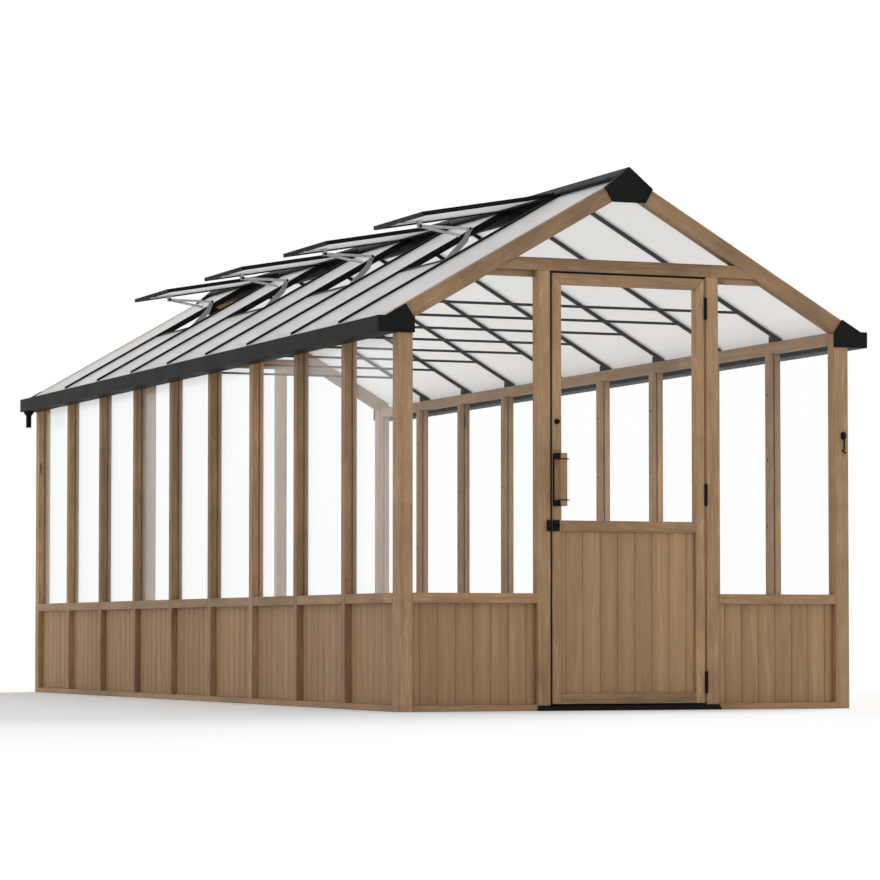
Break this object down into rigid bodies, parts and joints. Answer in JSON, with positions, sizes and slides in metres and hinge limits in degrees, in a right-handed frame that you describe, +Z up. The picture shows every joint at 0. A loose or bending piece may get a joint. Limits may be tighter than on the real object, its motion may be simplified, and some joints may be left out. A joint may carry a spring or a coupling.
{
  "type": "wooden greenhouse",
  "caption": "Free-standing gabled greenhouse of stained timber with a boarded base, clear panes, translucent roof sheets, a hinged half-boarded door and openable roof vents.",
  "frame": {"origin": "on the ground at the middle of the footprint", "axes": "+Z up, door end towards -Y, length along Y, vented slope and latch side towards -X"},
  "size_m": [2.456, 6.136, 2.483],
  "materials": {
    "stained_timber": "brown stain, satin",
    "clear_pane": "clear, smooth",
    "roof_sheet": "white translucent",
    "dark_coated_aluminium": "charcoal powder coat",
    "grey_steel": "galvanised"
  },
  "bodies": {
    "frame": {"sills": "stained_timber", "corner_posts": "stained_timber", "side_studs": "stained_timber", "gable_posts": "stained_timber", "mid_rails": "stained_timber", "side_boards": "stained_timber", "gable_boards": "stained_timber", "side_panes": "clear_pane", "gable_panes": "clear_pane", "tie_beams": "stained_timber", "gable_rafters": "stained_timber", "wall_plates": "stained_timber", "ridge_beam": "dark_coated_aluminium", "ridge_cap": "dark_coated_aluminium", "ridge_end_caps": "dark_coated_aluminium", "roof_bars": "dark_coated_aluminium", "bar_feet": "dark_coated_aluminium", "roof_sheets": "roof_sheet", "collar_ties": "dark_coated_aluminium", "gutters": "dark_coated_aluminium", "eave_caps": "dark_coated_aluminium", "gutter_outlets": "dark_coated_aluminium", "vent_trimmers": "dark_coated_aluminium", "opener_bases": "grey_steel", "threshold": "dark_coated_aluminium", "hinge_post_leaves": "dark_coated_aluminium", "hinge_pins": "dark_coated_aluminium", "latch_keeper": "dark_coated_aluminium", "hook_base": "dark_coated_aluminium"},
    "door": {"door_stiles": "stained_timber", "door_rails": "stained_timber", "door_boards": "stained_timber", "door_pane": "clear_pane", "handle_bar": "stained_timber", "handle_mounts": "dark_coated_aluminium", "hold_open_eye": "dark_coated_aluminium", "latch_case": "dark_coated_aluminium", "hinge_door_leaves": "dark_coated_aluminium"},
    "latch_bolt": {"latch_bolt": "dark_coated_aluminium"},
    "hold_open_hook": {"hold_open_hook": "dark_coated_aluminium"},
    "vent_1": {"vent_1_frame": "dark_coated_aluminium", "vent_1_sheet": "roof_sheet", "vent_1_bracket": "grey_steel"},
    "vent_1_arm": {"vent_1_arm": "grey_steel"},
    "vent_1_links": {"vent_1_links": "grey_steel"},
    "vent_2": {"vent_2_frame": "dark_coated_aluminium", "vent_2_sheet": "roof_sheet", "vent_2_bracket": "grey_steel"},
    "vent_2_arm": {"vent_2_arm": "grey_steel"},
    "vent_2_links": {"vent_2_links": "grey_steel"},
    "vent_3": {"vent_3_frame": "dark_coated_aluminium", "vent_3_sheet": "roof_sheet", "vent_3_bracket": "grey_steel"},
    "vent_3_arm": {"vent_3_arm": "grey_steel"},
    "vent_3_links": {"vent_3_links": "grey_steel"},
    "vent_4": {"vent_4_frame": "dark_coated_aluminium", "vent_4_sheet": "roof_sheet", "vent_4_bracket": "grey_steel"},
    "vent_4_arm": {"vent_4_arm": "grey_steel"},
    "vent_4_links": {"vent_4_links": "grey_steel"}
  },
  "joints": [
    {"name": "door_hinge", "type": "hinge", "parent": "frame", "child": "door", "pos_m": [0.387, -3.011, 0.985], "axis": [0, 0, 1], "range_deg": [0, 175]},
    {"name": "latch_slide", "type": "slide", "parent": "door", "child": "latch_bolt", "axis": [-1, 0, 0], "range_m": [0, 0.022]},
    {"name": "hook_swing", "type": "hinge", "parent": "frame", "child": "hold_open_hook", "pos_m": [1.103, -3.015, 1.273], "axis": [-1, 0, 0], "range_deg": [0, 35]},
    {"name": "vent_1_hinge", "type": "hinge", "parent": "frame", "child": "vent_1", "pos_m": [-0.07112, -1.964, 2.43219], "axis": [0, 1, 0], "range_deg": [-20, 0]},
    {"name": "vent_1_arm_pivot", "type": "hinge", "parent": "frame", "child": "vent_1_arm", "pos_m": [-0.53492, -1.964, 2.0755], "axis": [0, 1, 0], "range_deg": [0, 11.71]},
    {"name": "vent_1_links_pivot", "type": "hinge", "parent": "vent_1", "child": "vent_1_links", "pos_m": [-0.61799, -1.964, 2.29717], "axis": [0, 1, 0], "range_deg": [-12.66, 0]},
    {"name": "vent_2_hinge", "type": "hinge", "parent": "frame", "child": "vent_2", "pos_m": [-0.07112, -0.63733, 2.43219], "axis": [0, 1, 0], "range_deg": [-20, 0]},
    {"name": "vent_2_arm_pivot", "type": "hinge", "parent": "frame", "child": "vent_2_arm", "pos_m": [-0.53492, -0.63733, 2.0755], "axis": [0, 1, 0], "range_deg": [0, 11.71]},
    {"name": "vent_2_links_pivot", "type": "hinge", "parent": "vent_2", "child": "vent_2_links", "pos_m": [-0.61799, -0.63733, 2.29717], "axis": [0, 1, 0], "range_deg": [-12.66, 0]},
    {"name": "vent_3_hinge", "type": "hinge", "parent": "frame", "child": "vent_3", "pos_m": [-0.07112, 0.68933, 2.43219], "axis": [0, 1, 0], "range_deg": [-20, 0]},
    {"name": "vent_3_arm_pivot", "type": "hinge", "parent": "frame", "child": "vent_3_arm", "pos_m": [-0.53492, 0.68933, 2.0755], "axis": [0, 1, 0], "range_deg": [0, 11.71]},
    {"name": "vent_3_links_pivot", "type": "hinge", "parent": "vent_3", "child": "vent_3_links", "pos_m": [-0.61799, 0.68933, 2.29717], "axis": [0, 1, 0], "range_deg": [-12.66, 0]},
    {"name": "vent_4_hinge", "type": "hinge", "parent": "frame", "child": "vent_4", "pos_m": [-0.07112, 2.016, 2.43219], "axis": [0, 1, 0], "range_deg": [-20, 0]},
    {"name": "vent_4_arm_pivot", "type": "hinge", "parent": "frame", "child": "vent_4_arm", "pos_m": [-0.53492, 2.016, 2.0755], "axis": [0, 1, 0], "range_deg": [0, 11.71]},
    {"name": "vent_4_links_pivot", "type": "hinge", "parent": "vent_4", "child": "vent_4_links", "pos_m": [-0.61799, 2.016, 2.29717], "axis": [0, 1, 0], "range_deg": [-12.66, 0]}
  ],
  "couplings": [
    {"joint": "vent_1_arm_pivot", "follows": "vent_1_hinge", "ratio": -0.5706},
    {"joint": "vent_1_links_pivot", "follows": "vent_1_hinge", "ratio": 0.618},
    {"joint": "vent_2_arm_pivot", "follows": "vent_2_hinge", "ratio": -0.5706},
    {"joint": "vent_2_links_pivot", "follows": "vent_2_hinge", "ratio": 0.618},
    {"joint": "vent_3_arm_pivot", "follows": "vent_3_hinge", "ratio": -0.5706},
    {"joint": "vent_3_links_pivot", "follows": "vent_3_hinge", "ratio": 0.618},
    {"joint": "vent_4_arm_pivot", "follows": "vent_4_hinge", "ratio": -0.5706},
    {"joint": "vent_4_links_pivot", "follows": "vent_4_hinge", "ratio": 0.618}
  ]
}
